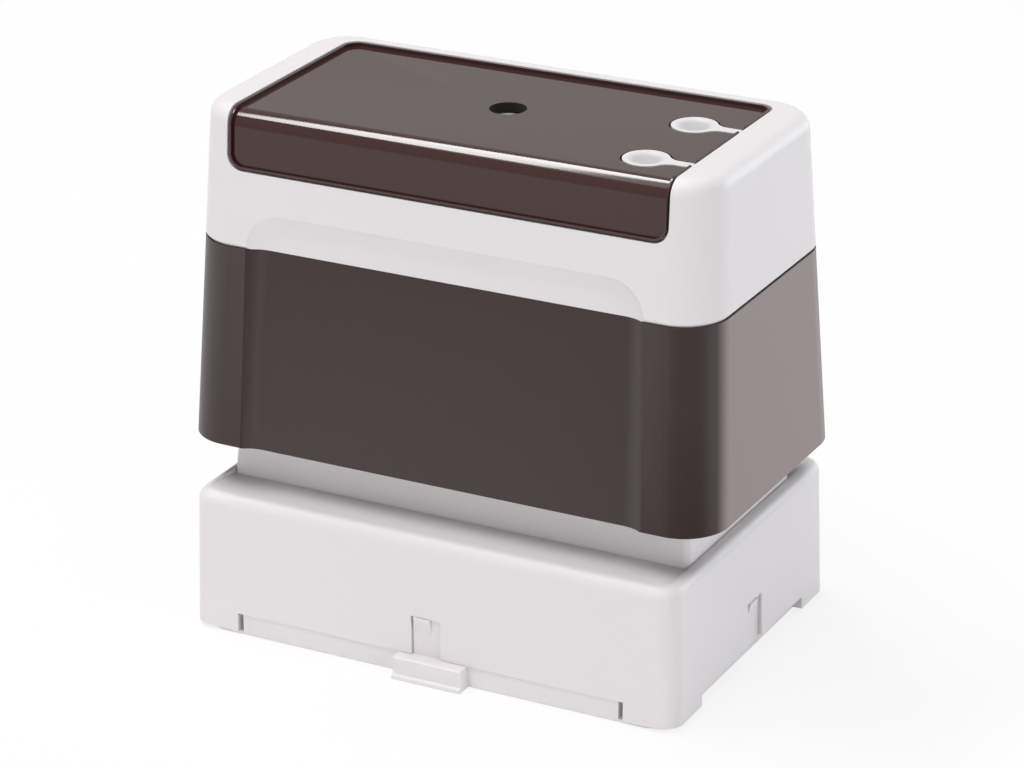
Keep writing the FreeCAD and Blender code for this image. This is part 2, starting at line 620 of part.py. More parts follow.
def make_label_card():
    x0 = -COVER_HALF_X + PEG_INSET_X + PEG_R + CARD_MARGIN
    x1 = PORT_X - PLUG_DISC_R - CARD_PORT_MARGIN
    y0 = -casing_y(DECK_Z) + FLAP_THICK + COVER_GAP + CARD_MARGIN
    y1 = COVER_REAR_Y - CARD_MARGIN
    return box(x0, x1, y0, y1, DECK_Z, DECK_Z + CARD_THICK)


# Tethered ink plugs
def make_plug(y):
    low = PLUG_TOP_Z - PLUG_THICK
    strap_low = PLUG_TOP_Z - STRAP_THICK
    bung_r = GASKET_INNER_R - BUNG_GAP
    half = STRAP_WIDTH / 2
    body = spoon(y, strap_low, PLUG_TOP_Z, 0)
    body = body.common(box(-REACH, HINGE_X, -REACH, REACH, strap_low, PLUG_TOP_Z))
    body = body.fuse(cylinder(PORT_X, y, low, strap_low, PLUG_DISC_R))
    body = body.fuse(cone(PORT_X, y, low - BUNG_LENGTH, low, bung_r - BUNG_TAPER, bung_r))
    dish_half = PLUG_DISC_R - PLUG_RIM
    dish_r = (dish_half ** 2 + PLUG_DISH ** 2) / (2 * PLUG_DISH)
    body = body.cut(Part.makeSphere(dish_r, vec(PORT_X, y, PLUG_TOP_Z - PLUG_DISH + dish_r)))
    axis = vec(HINGE_X, y - half, PLUG_TOP_Z - STRAP_THICK / 2)
    roll = Part.makeCylinder(STRAP_THICK / 2, STRAP_WIDTH, axis, vec(0, 1, 0))
    return body.fuse(roll).removeSplitter()


def make_gasket(y):
    ring = cylinder(PORT_X, y, PORT_NECK_TOP_Z, PORT_NECK_TOP_Z + GASKET_THICK, GASKET_OUTER_R)
    return ring.cut(cylinder(PORT_X, y, PORT_NECK_TOP_Z, PORT_NECK_TOP_Z + GASKET_THICK, GASKET_INNER_R))


# Ink tank, its feed duct and its lid
def make_ink_tank():
    body = slab(TANK_HALF_X, TANK_HALF_Y, TANK_CORNER, TANK_Z, TANK_TOP_Z)
    body = body.fuse(slab(DUCT_HALF_X, DUCT_HALF_Y, STEM_CORNER, FOAM_TOP_Z, TANK_Z + TANK_WALL))
    rail_x = TANK_HALF_X - RAIL_END
    rail_y = TANK_HALF_Y - RAIL_INSET
    for side in (-1, 1):
        ys = sorted((side * rail_y, side * (rail_y - RAIL_WIDTH)))
        rail = box(-rail_x, rail_x, ys[0], ys[1], PLATE_Z + PLATE_THICK, TANK_Z + TANK_WALL / 2)
        body = body.fuse(rail)
    body = body.cut(slab(TANK_HALF_X - TANK_WALL, TANK_HALF_Y - TANK_WALL, TANK_CORNER - TANK_WALL,
                         TANK_Z + TANK_WALL, TANK_TOP_Z))
    body = body.cut(slab(DUCT_HALF_X - TANK_WALL, DUCT_HALF_Y - TANK_WALL, STEM_CORNER / 2,
                         FOAM_TOP_Z, TANK_Z + TANK_WALL))
    return body.removeSplitter()


def make_tank_lid():
    body = slab(TANK_HALF_X, TANK_HALF_Y, TANK_CORNER, TANK_TOP_Z, LID_TOP_Z)
    for y in PORTS.values():
        body = body.fuse(cylinder(PORT_X, y, TANK_TOP_Z, PORT_NECK_TOP_Z, PORT_NECK_R))
    for y in PORTS.values():
        body = body.cut(cylinder(PORT_X, y, TANK_TOP_Z, PORT_NECK_TOP_Z, PORT_BORE_R))
        mouth = PORT_NECK_TOP_Z - (GASKET_INNER_R - PORT_BORE_R) * 2
        body = body.cut(cone(PORT_X, y, mouth, PORT_NECK_TOP_Z, PORT_BORE_R, GASKET_INNER_R))
    return body.removeSplitter()


# Die set
def make_stamp_die():
    face = slab(DIE_LENGTH / 2, DIE_WIDTH / 2, DIE_CORNER, DIE_FACE_Z, FLANGE_Z)
    flange = slab(DIE_LENGTH / 2 + DIE_FLANGE, DIE_WIDTH / 2 + DIE_FLANGE, DIE_CORNER,
                  FLANGE_Z, FLANGE_Z + DIE_FLANGE_THICK)
    return face.fuse(flange).removeSplitter()


def make_die_retainer():
    low = DIE_FACE_Z + RETAINER_STEP
    ring = slab(HOLDER_HALF_X, HOLDER_HALF_Y, HOLDER_CORNER, low, FLANGE_Z)
    rim = find_edges(ring, lambda mid, run: abs(mid.z - low) < 0.01)
    ring = ring.makeChamfer(RETAINER_STEP, rim)
    window_x = DIE_LENGTH / 2 + RETAINER_GAP
    window_y = DIE_WIDTH / 2 + RETAINER_GAP
    return ring.cut(slab(window_x, window_y, DIE_CORNER, low, FLANGE_Z))


def make_die_holder():
    root = HOLDER_TOP_Z - HOLDER_TOP / 2
    tray = slab(HOLDER_HALF_X, HOLDER_HALF_Y, HOLDER_CORNER, FLANGE_Z, HOLDER_TOP_Z)
    tray = tray.cut(slab(HOLDER_IN_X, HOLDER_IN_Y, HOLDER_CORNER / 2, FLANGE_Z, FOAM_TOP_Z))
    stem = slab(STEM_HALF_X, STEM_HALF_Y, STEM_CORNER, root, PLATE_Z)
    stem = stem.cut(slab(STEM_HALF_X - STEM_WALL, STEM_HALF_Y - STEM_WALL, STEM_CORNER / 2, root, PLATE_Z))
    body = tray.fuse(stem)
    for x, y in screw_places():
        body = body.fuse(cylinder(x, y, root, PLATE_Z, BOSS_R))
    body = body.cut(duct_hole(FOAM_TOP_Z, PLATE_Z))
    bore_low = PLATE_Z - SCREW_LENGTH - SCREW_END_GAP
    for x, y in screw_places():
        body = body.cut(cylinder(x, y, bore_low, PLATE_Z, SCREW_R + SCREW_GAP))
    return body.removeSplitter()


def make_mount_sheet():
    low = FLANGE_Z + DIE_FLANGE_THICK
    sheet = slab(HOLDER_IN_X - FOAM_GAP, HOLDER_IN_Y - FOAM_GAP, DIE_CORNER, low, low + SHEET_THICK)
    for i in range(SHEET_COLUMNS):
        for j in range(SHEET_ROWS):
            x = DIE_LENGTH * ((i + 0.5) / SHEET_COLUMNS - 0.5)
            y = DIE_WIDTH * ((j + 0.5) / SHEET_ROWS - 0.5)
            sheet = sheet.cut(cylinder(x, y, low, low + SHEET_THICK, SHEET_HOLE_R))
    return sheet


def make_ink_foam():
    low = FLANGE_Z + DIE_FLANGE_THICK + SHEET_THICK
    return slab(HOLDER_IN_X - FOAM_GAP, HOLDER_IN_Y - FOAM_GAP, DIE_CORNER, low, HOLDER_TOP_Z - HOLDER_TOP)


# Screws and return springs
def make_screws():
    seat = PLATE_Z + PLATE_THICK
    solids = []
    for x, y in screw_places():
        head = cylinder(x, y, seat, seat + SCREW_HEAD, SCREW_HEAD_R)
        rim = find_edges(head, lambda mid, run: abs(mid.z - seat - SCREW_HEAD) < 0.01)
        head = head.makeChamfer(SCREW_HEAD_EDGE, rim)
        shank = cylinder(x, y, PLATE_Z - SCREW_LENGTH, seat + SCREW_HEAD / 2, SCREW_R)
        solids.append(head.fuse(shank).removeSplitter())
    return Part.makeCompound(solids)


def make_spring(x):
    """Outer and inner limits of the hidden coil."""
    low = WEB_Z + WEB_THICK
    coil = cylinder(x, 0, low, PLATE_Z, SPRING_OUTER_R)
    return coil.cut(cylinder(x, 0, low, PLATE_Z, SPRING_OUTER_R - SPRING_WIRE))


def all_parts():
    parts = {}
    parts["cap"] = make_cap()
    parts["skirt"] = make_skirt()
    parts["lower_casing"] = make_lower_casing()
    parts["handle_shell"] = make_handle_shell()
    parts["label_cover"] = make_label_cover()
    parts["label_card"] = make_label_card()
    for name, y in PORTS.items():
        parts["ink_plug_" + name] = make_plug(y)
        parts["port_gasket_" + name] = make_gasket(y)
    parts["ink_tank"] = make_ink_tank()
    parts["tank_lid"] = make_tank_lid()
    parts["ink_foam"] = make_ink_foam()
    parts["die_holder"] = make_die_holder()
    parts["die_mount_sheet"] = make_mount_sheet()
    parts["stamp_die"] = make_stamp_die()
    parts["die_retainer"] = make_die_retainer()
    parts["fixing_screws"] = make_screws()
    parts["return_spring_left"] = make_spring(-SPRING_X)
    parts["return_spring_right"] = make_spring(SPRING_X)
    return parts


os.makedirs("parts", exist_ok=True)
for part_name, shape in all_parts().items():
    print(part_name, "solids", len(shape.Solids), "valid", shape.isValid(), "volume", round(shape.Volume, 2))
    shape.exportStep("parts/" + part_name + ".step")
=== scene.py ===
import math

import bpy
from mathutils import Matrix, Vector


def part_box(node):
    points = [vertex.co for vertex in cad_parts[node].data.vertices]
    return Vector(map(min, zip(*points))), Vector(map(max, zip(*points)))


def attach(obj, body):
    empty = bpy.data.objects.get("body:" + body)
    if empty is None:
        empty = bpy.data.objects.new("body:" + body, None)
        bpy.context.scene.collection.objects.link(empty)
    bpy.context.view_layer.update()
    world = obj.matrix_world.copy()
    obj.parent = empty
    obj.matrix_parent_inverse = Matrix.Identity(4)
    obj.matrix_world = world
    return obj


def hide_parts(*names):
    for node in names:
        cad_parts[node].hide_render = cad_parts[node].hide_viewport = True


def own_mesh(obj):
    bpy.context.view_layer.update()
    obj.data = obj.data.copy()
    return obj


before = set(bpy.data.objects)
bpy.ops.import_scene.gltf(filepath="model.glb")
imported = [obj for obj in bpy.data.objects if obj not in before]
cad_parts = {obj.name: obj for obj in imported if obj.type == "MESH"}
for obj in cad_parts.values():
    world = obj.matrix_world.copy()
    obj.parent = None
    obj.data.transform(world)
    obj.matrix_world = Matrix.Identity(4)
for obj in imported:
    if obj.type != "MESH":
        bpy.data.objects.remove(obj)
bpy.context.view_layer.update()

# Camera, fitted to the photograph's edges: metres, degrees, and millimetres of lens and sensor
CAMERA_PLACE = Vector((0.21346, -0.40508, 0.22335))
CAMERA_AZIMUTH = 27.76
CAMERA_ELEVATION = 22.76
CAMERA_ROLL = -0.44
CAMERA_LENS = 137.52
CAMERA_SENSOR = 36.0
CAMERA_NEAR = 0.01
CAMERA_FAR = 20.0

# Places on the cover and the plugs in metres, and fades round them as shares of a radius, for the
# painted shade in the pen hole and in the plugs' dishes
PLUG_RADIUS = 0.0029
PLUG_FADE = (0.45, 0.9)
PEN_HOLE = (0.00027, -0.0005)
PEN_HOLE_RADIUS = 0.00233
PEN_HOLE_FADE = (1.01, 1.04)

# Plastics and other materials, as linear colours
WHITE_ABS = (0.80, 0.765, 0.775)
# Middle of the plugs' dished discs: painted shade
DISH_SHADE_WHITE = (0.54, 0.525, 0.53)
DARK_ABS = (0.028, 0.011, 0.010)
# Paler base colour of the casing's short ends: painted sheen
END_SHEEN_ABS = (0.165, 0.110, 0.108)
DARK_COVER = (0.041, 0.011, 0.010)
# Inside of the pen hole: painted shade
HOLE_SHADE_BLACK = (0.004, 0.002, 0.002)
INNER_DARK = (0.030, 0.026, 0.026)
CARD_WHITE = (0.80, 0.80, 0.78)
RUBBER_DARK = (0.020, 0.020, 0.021)
INK_FOAM = (0.012, 0.012, 0.030)
DIE_RED = (0.22, 0.050, 0.040)
STEEL = (0.60, 0.60, 0.61)

# Texture detail, per metre
PLASTIC_GRAIN = 9000.0
RUBBER_GRAIN = 4000.0
BROAD_GLOSS = 160.0
PLASTIC_CLOUD = 45.0
RUBBER_CLOUD = 120.0
SPECKS = 900.0
FOAM_CELLS = 1800.0
FIBRES = 2500.0
DRAWING_MARKS = 3000.0

# Texture height, in metres
WHITE_RELIEF = 0.000006
DARK_RELIEF = 0.00001
COVER_RELIEF = 0.000001
RUBBER_RELIEF = 0.00003
FIBRE_RELIEF = 0.00004
FOAM_RELIEF = 0.0003

# Share of the cells that stay without a speck
SPECK_RARITY = 0.93

# Part of a face's direction along X above which it starts to count as a short end
END_FACING = 0.92

# Light that goes a short way into white plastic: share, colour of the reach, reach in metres
WHITE_SUBSURFACE = 0.12
WHITE_REACH_COLOUR = (1.0, 0.9, 0.85)
WHITE_REACH = 0.0008


# Shared effects


def new_group(name, inputs, outputs):
    """Shader node group with float inputs {name: value} and outputs {name: socket type}."""
    group = bpy.data.node_groups.new(name, "ShaderNodeTree")
    for label, value in inputs.items():
        socket = group.interface.new_socket(label, in_out="INPUT", socket_type="NodeSocketFloat")
        socket.default_value = value
    for label, kind in outputs.items():
        group.interface.new_socket(label, in_out="OUTPUT", socket_type=kind)
    return group, group.nodes.new("NodeGroupInput"), group.nodes.new("NodeGroupOutput")


def join(tree, source, target):
    tree.links.new(source, target)


def feed(tree, value, target):
    """Sets a socket to a number, or links another socket to it."""
    if isinstance(value, (int, float)):
        target.default_value = value
    else:
        join(tree, value, target)


def math_node(tree, operation, *values):
    """Math node; the values are sockets or numbers."""
    node = tree.nodes.new("ShaderNodeMath")
    node.operation = operation
    for value, socket in zip(values, node.inputs):
        feed(tree, value, socket)
    return node.outputs[0]


def spread(tree, value, low, high):
    """Maps 0..1 to low..high; low and high are sockets or numbers."""
    node = tree.nodes.new("ShaderNodeMapRange")
    join(tree, value, node.inputs["Value"])
    feed(tree, low, node.inputs["To Min"])
    feed(tree, high, node.inputs["To Max"])
    return node.outputs["Result"]


def clamped(tree, value):
    """Keeps a value within 0..1."""
    node = tree.nodes.new("ShaderNodeClamp")
    join(tree, value, node.inputs["Value"])
    return node.outputs["Result"]


def object_place(tree):
    return tree.nodes.new("ShaderNodeTexCoord").outputs["Object"]


def split_xyz(tree, vector):
    node = tree.nodes.new("ShaderNodeSeparateXYZ")
    join(tree, vector, node.inputs[0])
    return node.outputs


def noise(tree, vector, scale, detail, rough):
    node = tree.nodes.new("ShaderNodeTexNoise")
    feed(tree, scale, node.inputs["Scale"])
    node.inputs["Detail"].default_value = detail
    node.inputs["Roughness"].default_value = rough
    join(tree, vector, node.inputs["Vector"])
    return node.outputs["Fac"]


def cells(tree, vector, scale):
    node = tree.nodes.new("ShaderNodeTexVoronoi")
    feed(tree, scale, node.inputs["Scale"])
    join(tree, vector, node.inputs["Vector"])
    return node.outputs


def make_mould_grain():
    """Fine eroded texture of a mould wall: a height, and how the gloss varies with it."""
    tree, inlet, outlet = new_group(
        "mould_grain",
        {"Grain per metre": PLASTIC_GRAIN, "Gloss low": 0.3, "Gloss high": 0.4},
        {"Height": "NodeSocketFloat", "Roughness": "NodeSocketFloat"})
    place = object_place(tree)
    fine = noise(tree, place, inlet.outputs["Grain per metre"], 2.0, 0.55)
    broad = noise(tree, place, BROAD_GLOSS, 3.0, 0.5)
    join(tree, fine, outlet.inputs["Height"])
    half_fine = math_node(tree, "MULTIPLY", fine, 0.5)
    half_broad = math_node(tree, "MULTIPLY", broad, 0.5)
    mixed = math_node(tree, "ADD", half_fine, half_broad)
    rough = spread(tree, mixed, inlet.outputs["Gloss low"], inlet.outputs["Gloss high"])
    join(tree, rough, outlet.inputs["Roughness"])
    return tree


def make_flow_tint():
    """Slow change of tone in moulded plastic, with sparse specks; gives a 0..1 mask for each."""
    tree, inlet, outlet = new_group(
        "flow_tint",
        {"Cloud per metre": PLASTIC_CLOUD, "Speck per metre": SPECKS, "Speck amount": 0.1},
        {"Cloud": "NodeSocketFloat", "Speck": "NodeSocketFloat"})
    place = object_place(tree)
    cloud = noise(tree, place, inlet.outputs["Cloud per metre"], 3.0, 0.5)
    join(tree, cloud, outlet.inputs["Cloud"])
    specks = cells(tree, place, inlet.outputs["Speck per metre"])
    near = math_node(tree, "LESS_THAN", specks["Distance"], inlet.outputs["Speck amount"])
    split = tree.nodes.new("ShaderNodeSeparateColor")
    join(tree, specks["Color"], split.inputs["Color"])
    rare = math_node(tree, "GREATER_THAN", split.outputs["Red"], SPECK_RARITY)
    join(tree, math_node(tree, "MULTIPLY", near, rare), outlet.inputs["Speck"])
    return tree


def make_facing_mask():
    """1 on faces that look along the length of a piece, 0 on its long sides."""
    tree, inlet, outlet = new_group(
        "facing_mask", {"Sharpness": 13.0}, {"End": "NodeSocketFloat"})
    direction = split_xyz(tree, tree.nodes.new("ShaderNodeTexCoord").outputs["Normal"])
    length = math_node(tree, "ABSOLUTE", direction["X"])
    above = math_node(tree, "SUBTRACT", length, END_FACING)
    scaled = math_node(tree, "MULTIPLY", above, inlet.outputs["Sharpness"])
    join(tree, clamped(tree, scaled), outlet.inputs["End"])
    return tree


def make_disc_mask():
    """1 in the middle of a round face that looks up, 0 outside it; place and radii in metres."""
    tree, inlet, outlet = new_group(
        "disc_mask",
        {"Centre X": 0.0, "Centre Y": 0.0, "Inner": 0.001, "Outer": 0.002},
        {"Disc": "NodeSocketFloat"})
    place = split_xyz(tree, object_place(tree))
    squares = []
    for axis in "XY":
        offset = math_node(tree, "SUBTRACT", place[axis], inlet.outputs["Centre " + axis])
        squares.append(math_node(tree, "MULTIPLY", offset, offset))
    distance = math_node(tree, "SQRT", math_node(tree, "ADD", *squares))
    fade = tree.nodes.new("ShaderNodeMapRange")
    fade.interpolation_type = "SMOOTHSTEP"
    join(tree, distance, fade.inputs["Value"])
    join(tree, inlet.outputs["Inner"], fade.inputs["From Min"])
    join(tree, inlet.outputs["Outer"], fade.inputs["From Max"])
    fade.inputs["To Min"].default_value = 1.0
    fade.inputs["To Max"].default_value = 0.0
    join(tree, fade.outputs["Result"], outlet.inputs["Disc"])
    return tree


def make_edge_mask():
    """Convex edges of a piece, 0 on flats and 1 on the edge."""
    tree, inlet, outlet = new_group(
        "edge_mask", {"Sharpness": 12.0}, {"Edge": "NodeSocketFloat"})
    geometry = tree.nodes.new("ShaderNodeNewGeometry")
    above = math_node(tree, "SUBTRACT", geometry.outputs["Pointiness"], 0.5)
    scaled = math_node(tree, "MULTIPLY", above, inlet.outputs["Sharpness"])
    join(tree, clamped(tree, scaled), outlet.inputs["Edge"])
    return tree


MOULD_GRAIN = make_mould_grain()
FACING_MASK = make_facing_mask()
DISC_MASK = make_disc_mask()
FLOW_TINT = make_flow_tint()
EDGE_MASK = make_edge_mask()


def place_group(tree, group, **values):
    """Node of a shared group; an underscore in a name stands for a space."""
    node = tree.nodes.new("ShaderNodeGroup")
    node.node_tree = group
    for label, value in values.items():
        node.inputs[label.replace("_", " ")].default_value = value
    return node


def mix_colour(tree, factor, a, b):
    """Mix of two colours; a and b are sockets or (r, g, b)."""
    node = tree.nodes.new("ShaderNodeMix")
    node.data_type = "RGBA"
    join(tree, factor, node.inputs["Factor"])
    for label, value in (("A", a), ("B", b)):
        socket = next(s for s in node.inputs if s.name == label and s.type == "RGBA")
        if isinstance(value, tuple):
            socket.default_value = (*value, 1.0)
        else:
            join(tree, value, socket)
    return next(s for s in node.outputs if s.type == "RGBA")


def shade(colour, factor):
    return tuple(min(1.0, c * factor) for c in colour)


# Materials


def node_of_type(tree, kind):
    return next(n for n in tree.nodes if n.type == kind)


def new_material(name):
    material = bpy.data.materials.new(name)
    material.use_nodes = True
    tree = material.node_tree
    return material, tree, node_of_type(tree, "BSDF_PRINCIPLED")


def add_bump(tree, shader, height, relief):
    bump = tree.nodes.new("ShaderNodeBump")
    bump.inputs["Distance"].default_value = relief
    join(tree, height, bump.inputs["Height"])
    join(tree, bump.outputs["Normal"], shader.inputs["Normal"])


def add_spot(tree, shader, mask, colour, rough):
    """Another colour and gloss where the mask is 1."""
    around = shader.inputs["Base Color"].links[0].from_socket
    join(tree, mix_colour(tree, mask, around, colour), shader.inputs["Base Color"])
    gloss = shader.inputs["Roughness"].links[0].from_socket
    join(tree, spread(tree, mask, gloss, rough), shader.inputs["Roughness"])


def moulded_plastic(name, colour, relief=DARK_RELIEF, gloss=(0.3, 0.4), tint=0.06, speck=0.0,
                    edge=0.08, subsurface=0.0, ior=1.53):
    """Moulded plastic with the mould's grain, a slow tone change, specks, and convex edges painted
    lighter as a highlight.
    """
    material, tree, shader = new_material(name)
    flow = place_group(tree, FLOW_TINT, Speck_amount=speck)
    toned = mix_colour(tree, flow.outputs["Cloud"], shade(colour, 1 - tint),
                       shade(colour, 1 + tint))
    specked = mix_colour(tree, flow.outputs["Speck"], toned, shade(colour, 0.6))
    # Painted highlight: convex edges mixed towards a lighter colour
    edges = place_group(tree, EDGE_MASK)
    painted_edge_highlight = math_node(tree, "MULTIPLY", edges.outputs["Edge"], edge)
    lighter = tuple(c + (1 - c) * 0.5 for c in colour)
    join(tree, mix_colour(tree, painted_edge_highlight, specked, lighter), shader.inputs["Base Color"])
    texture = place_group(tree, MOULD_GRAIN, Grain_per_metre=PLASTIC_GRAIN,
                          Gloss_low=gloss[0], Gloss_high=gloss[1])
    join(tree, texture.outputs["Roughness"], shader.inputs["Roughness"])
    add_bump(tree, shader, texture.outputs["Height"], relief)
    shader.inputs["IOR"].default_value = ior
    if subsurface:
        shader.inputs["Subsurface Weight"].default_value = subsurface
        shader.inputs["Subsurface Radius"].default_value = WHITE_REACH_COLOUR
        shader.inputs["Subsurface Scale"].default_value = WHITE_REACH
    return material


def paint_end_sheen(material, colour, rough, sheen):
    """Short ends painted paler as a sheen in the base colour, under a coat of gloss."""
    tree = material.node_tree
    shader = node_of_type(tree, "BSDF_PRINCIPLED")
    end = place_group(tree, FACING_MASK).outputs["End"]
    # The ends' paler base colour is painted sheen
    add_spot(tree, shader, end, colour, rough)
    join(tree, math_node(tree, "MULTIPLY", end, sheen), shader.inputs["Coat Weight"])
    shader.inputs["Coat Roughness"].default_value = 0.4


def paint_disc_shade(material, centre, radius, fade, colour, rough):
    """Another colour and gloss inside a round spot of a piece, seen from above; here it paints
    shade into a dish or a hole.
    """
    tree = material.node_tree
    shader = node_of_type(tree, "BSDF_PRINCIPLED")
    mask = place_group(tree, DISC_MASK, Centre_X=centre[0], Centre_Y=centre[1],
                       Inner=radius * fade[0], Outer=radius * fade[1])
    add_spot(tree, shader, mask.outputs["Disc"], colour, rough)


def plug_plastic(node):
    """White plug whose dished disc is painted darker in the middle, as shade in the dish."""
    low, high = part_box(node)
    material = moulded_plastic(node + "_plastic", WHITE_ABS, relief=WHITE_RELIEF,
                               gloss=(0.35, 0.45), tint=0.02, edge=0.0,
                               subsurface=WHITE_SUBSURFACE)
    centre = (low[0] + PLUG_RADIUS, (low[1] + high[1]) / 2)
    # Painted shade in the middle of the dished disc
    paint_disc_shade(material, centre, PLUG_RADIUS, PLUG_FADE, DISH_SHADE_WHITE, 0.45)
    return material


def open_foam(name, colour):
    """Soft open-cell foam; the hollows of the cells are painted darker, as shade."""
    material, tree, shader = new_material(name)
    depth = cells(tree, object_place(tree), FOAM_CELLS)["Distance"]
    # Painted shade: the deeper a cell's hollow, the darker its colour
    join(tree, mix_colour(tree, depth, shade(colour, 0.5), shade(colour, 2.5)),
         shader.inputs["Base Color"])
    add_bump(tree, shader, depth, FOAM_RELIEF)
    shader.inputs["Roughness"].default_value = 0.9
    return material


def fibre_sheet(name, colour):
    """Card or felt-like sheet with short fibres."""
    material, tree, shader = new_material(name)
    fibre = noise(tree, object_place(tree), FIBRES, 6.0, 0.7)
    join(tree, mix_colour(tree, fibre, shade(colour, 0.9), colour), shader.inputs["Base Color"])
    add_bump(tree, shader, fibre, FIBRE_RELIEF)
    shader.inputs["Roughness"].default_value = 0.75
    return material


def soft_rubber(name, colour):
    material, tree, shader = new_material(name)
    texture = place_group(tree, MOULD_GRAIN, Grain_per_metre=RUBBER_GRAIN,
                          Gloss_low=0.55, Gloss_high=0.7)
    flow = place_group(tree, FLOW_TINT, Cloud_per_metre=RUBBER_CLOUD)
    join(tree, mix_colour(tree, flow.outputs["Cloud"], shade(colour, 0.85), shade(colour, 1.15)),
         shader.inputs["Base Color"])
    join(tree, texture.outputs["Roughness"], shader.inputs["Roughness"])
    add_bump(tree, shader, texture.outputs["Height"], RUBBER_RELIEF)
    return material


def drawn_steel(name, colour, low, high):
    """Steel with fine drawing marks in its gloss."""
    material, tree, shader = new_material(name)
    marks = noise(tree, object_place(tree), DRAWING_MARKS, 4.0, 0.6)
    join(tree, spread(tree, marks, low, high), shader.inputs["Roughness"])
    join(tree, mix_colour(tree, marks, shade(colour, 0.9), shade(colour, 1.05)),
         shader.inputs["Base Color"])
    shader.inputs["Metallic"].default_value = 1.0
    return material


white_satin = moulded_plastic("white_satin", WHITE_ABS, relief=WHITE_RELIEF, gloss=(0.42, 0.52),
                              tint=0.015, edge=0.0, subsurface=WHITE_SUBSURFACE)
dark_satin = moulded_plastic("dark_satin", DARK_ABS, edge=0.05, ior=1.45)
# The dark casing's short ends get painted sheen: a paler base colour, with a coat
paint_end_sheen(dark_satin, END_SHEEN_ABS, 0.5, 1.0)
dark_gloss = moulded_plastic("dark_gloss", DARK_COVER, relief=COVER_RELIEF, gloss=(0.05, 0.09),
                             tint=0.05, speck=0.05, edge=0.03)
# Painted shade inside the pen hole
paint_disc_shade(dark_gloss, PEN_HOLE, PEN_HOLE_RADIUS, PEN_HOLE_FADE, HOLE_SHADE_BLACK, 0.9)
inner_dark = moulded_plastic("inner_dark", INNER_DARK, gloss=(0.35, 0.5), tint=0.08)
card = fibre_sheet("label_stock", CARD_WHITE)
felt = fibre_sheet("ink_sheet", shade(CARD_WHITE, 0.6))
foam = open_foam("ink_foam_cells", INK_FOAM)
gasket_rubber = soft_rubber("gasket_rubber", RUBBER_DARK)
die_rubber = soft_rubber("die_rubber", DIE_RED)
screw_steel = drawn_steel("screw_steel", STEEL, 0.15, 0.3)
spring_steel = drawn_steel("spring_steel", shade(STEEL, 0.85), 0.25, 0.4)

FINISH = {
    "cap": white_satin,
    "skirt": white_satin,
    "handle_shell": white_satin,
    "ink_plug_front": plug_plastic("ink_plug_front"),
    "ink_plug_rear": plug_plastic("ink_plug_rear"),
    "lower_casing": dark_satin,
    "label_cover": dark_gloss,
    "ink_tank": inner_dark,
    "tank_lid": inner_dark,
    "die_holder": inner_dark,
    "die_retainer": inner_dark,
    "label_card": card,
    "die_mount_sheet": felt,
    "ink_foam": foam,
    "port_gasket_front": gasket_rubber,
    "port_gasket_rear": gasket_rubber,
    "stamp_die": die_rubber,
    "fixing_screws": screw_steel,
    "return_spring_left": spring_steel,
    "return_spring_right": spring_steel,
}
for node, material in FINISH.items():
    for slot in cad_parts[node].material_slots:
        slot.material = material


# Return springs: wound wire in place of the plain sleeves
SPRING_WIRE = 0.0007
SPRING_TURNS = 8
SPRING_STEPS = 24
WIRE_SIDES = 8


def wound_spring(node):
    """Coil with closed, flat end turns inside the box of the node."""
    low, high = (Vector(corner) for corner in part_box(node))
    centre = (low + high) / 2
    wire = SPRING_WIRE / 2
    radius = (high.x - low.x) / 2 - wire
    total = SPRING_TURNS * SPRING_STEPS
    verts, faces = [], []
    for i in range(total + 1):
        turn = i / SPRING_STEPS
        free = min(max((turn - 1) / (SPRING_TURNS - 2), 0.0), 1.0)
        closed = min(turn, 1.0) + max(turn - SPRING_TURNS + 1, 0.0)
        rise = closed * SPRING_WIRE + free * (high.z - low.z - 3 * SPRING_WIRE)
        angle = 2 * math.pi * turn
        out = Vector((math.cos(angle), math.sin(angle), 0))
        middle = Vector((centre.x, centre.y, low.z + wire + rise)) + out * radius
        for k in range(WIRE_SIDES):
            around = 2 * math.pi * k / WIRE_SIDES
            up = Vector((0, 0, wire * math.sin(around)))
            verts.append(middle + out * (wire * math.cos(around)) + up)
    for i in range(total):
        for k in range(WIRE_SIDES):
            n = (k + 1) % WIRE_SIDES
            a, b = i * WIRE_SIDES, (i + 1) * WIRE_SIDES
            faces.append((a + k, a + n, b + n, b + k))
    faces.append(tuple(range(WIRE_SIDES)))
    faces.append(tuple(reversed(range(total * WIRE_SIDES, (total + 1) * WIRE_SIDES))))
    mesh = bpy.data.meshes.new(node + "_coil")
    mesh.from_pydata(verts, [], faces)
    for face in mesh.polygons:
        face.use_smooth = len(face.vertices) == 4
    mesh.materials.append(spring_steel)
    piece = bpy.data.objects.new(node + "_coil", mesh)
    bpy.context.scene.collection.objects.link(piece)
    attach(piece, "handle")
    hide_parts(node)
    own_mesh(piece)


for spring in ("return_spring_left", "return_spring_right"):
    wound_spring(spring)


# Stage: pale floor, white surroundings for what the camera and the reflections see
WORLD_LEVEL = 0.1
FLOOR_HALF = 3.0
FLOOR_PAPER = (0.93, 0.93, 0.93, 1.0)
FLOOR_GLOW = 0.8
WALL_IN_GLOSS = 0.6
# Dark flag seen only in gloss: a painted reflection of the shaded floor in front
FLAG_REACH = (0.07, 0.8)
FLAG_BEARINGS = (2.0, 74.0)
FLAG_HEIGHT = 0.002
REFLECTED_SHADE_BLACK = (0.02, 0.02, 0.02, 1.0)
PAPER_ROUGH = 0.9
PURE_WHITE = (1.0, 1.0, 1.0, 1.0)
PLAIN_LIGHT = (1.0, 1.0, 1.0)
COOL_LIGHT = (0.96, 1.0, 1.03)

